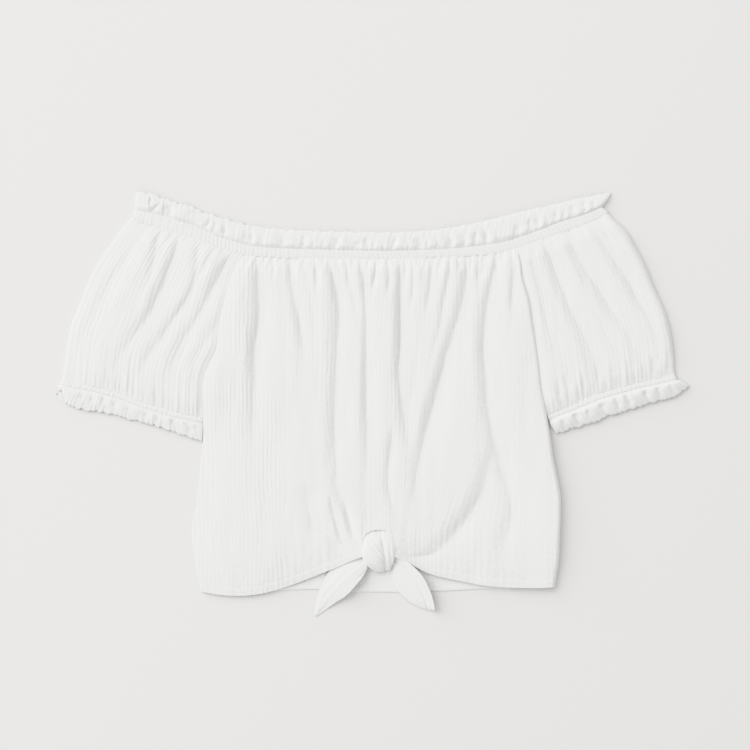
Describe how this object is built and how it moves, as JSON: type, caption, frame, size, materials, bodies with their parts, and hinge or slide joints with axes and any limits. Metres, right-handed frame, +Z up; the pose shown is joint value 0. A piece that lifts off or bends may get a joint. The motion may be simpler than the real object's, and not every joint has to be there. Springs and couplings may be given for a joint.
{
  "type": "off-shoulder crop top, laid flat",
  "caption": "White crinkle-gauze off-shoulder crop top laid flat, with a ruffled elastic neckline, short gathered sleeves with frilled cuffs, and a tie knot at the front hem.",
  "frame": {"origin": "on the surface that the top lies on, below the middle of its bounding box", "axes": "+X towards the right of the laid top as seen from above, +Y towards its neckline, +Z up out of its front"},
  "size_m": [0.7404, 0.4952, 0.0172],
  "materials": {
    "gauze": "matte crinkled cotton gauze",
    "gathered_gauze": "matte gathered cotton gauze",
    "knotted_gauze": "matte knotted cotton gauze"
  },
  "bodies": {
    "root": {"back_panel": "gauze", "front_panel": "gauze", "sleeve_left": "gauze", "sleeve_right": "gauze", "neck_casing": "gathered_gauze", "neck_ruffle": "gathered_gauze", "cuff_casing_left": "gathered_gauze", "cuff_casing_right": "gathered_gauze", "cuff_ruffle_left": "gathered_gauze", "cuff_ruffle_right": "gathered_gauze", "knot": "knotted_gauze", "tie_left": "knotted_gauze", "tie_right": "knotted_gauze"}
  },
  "joints": []
}
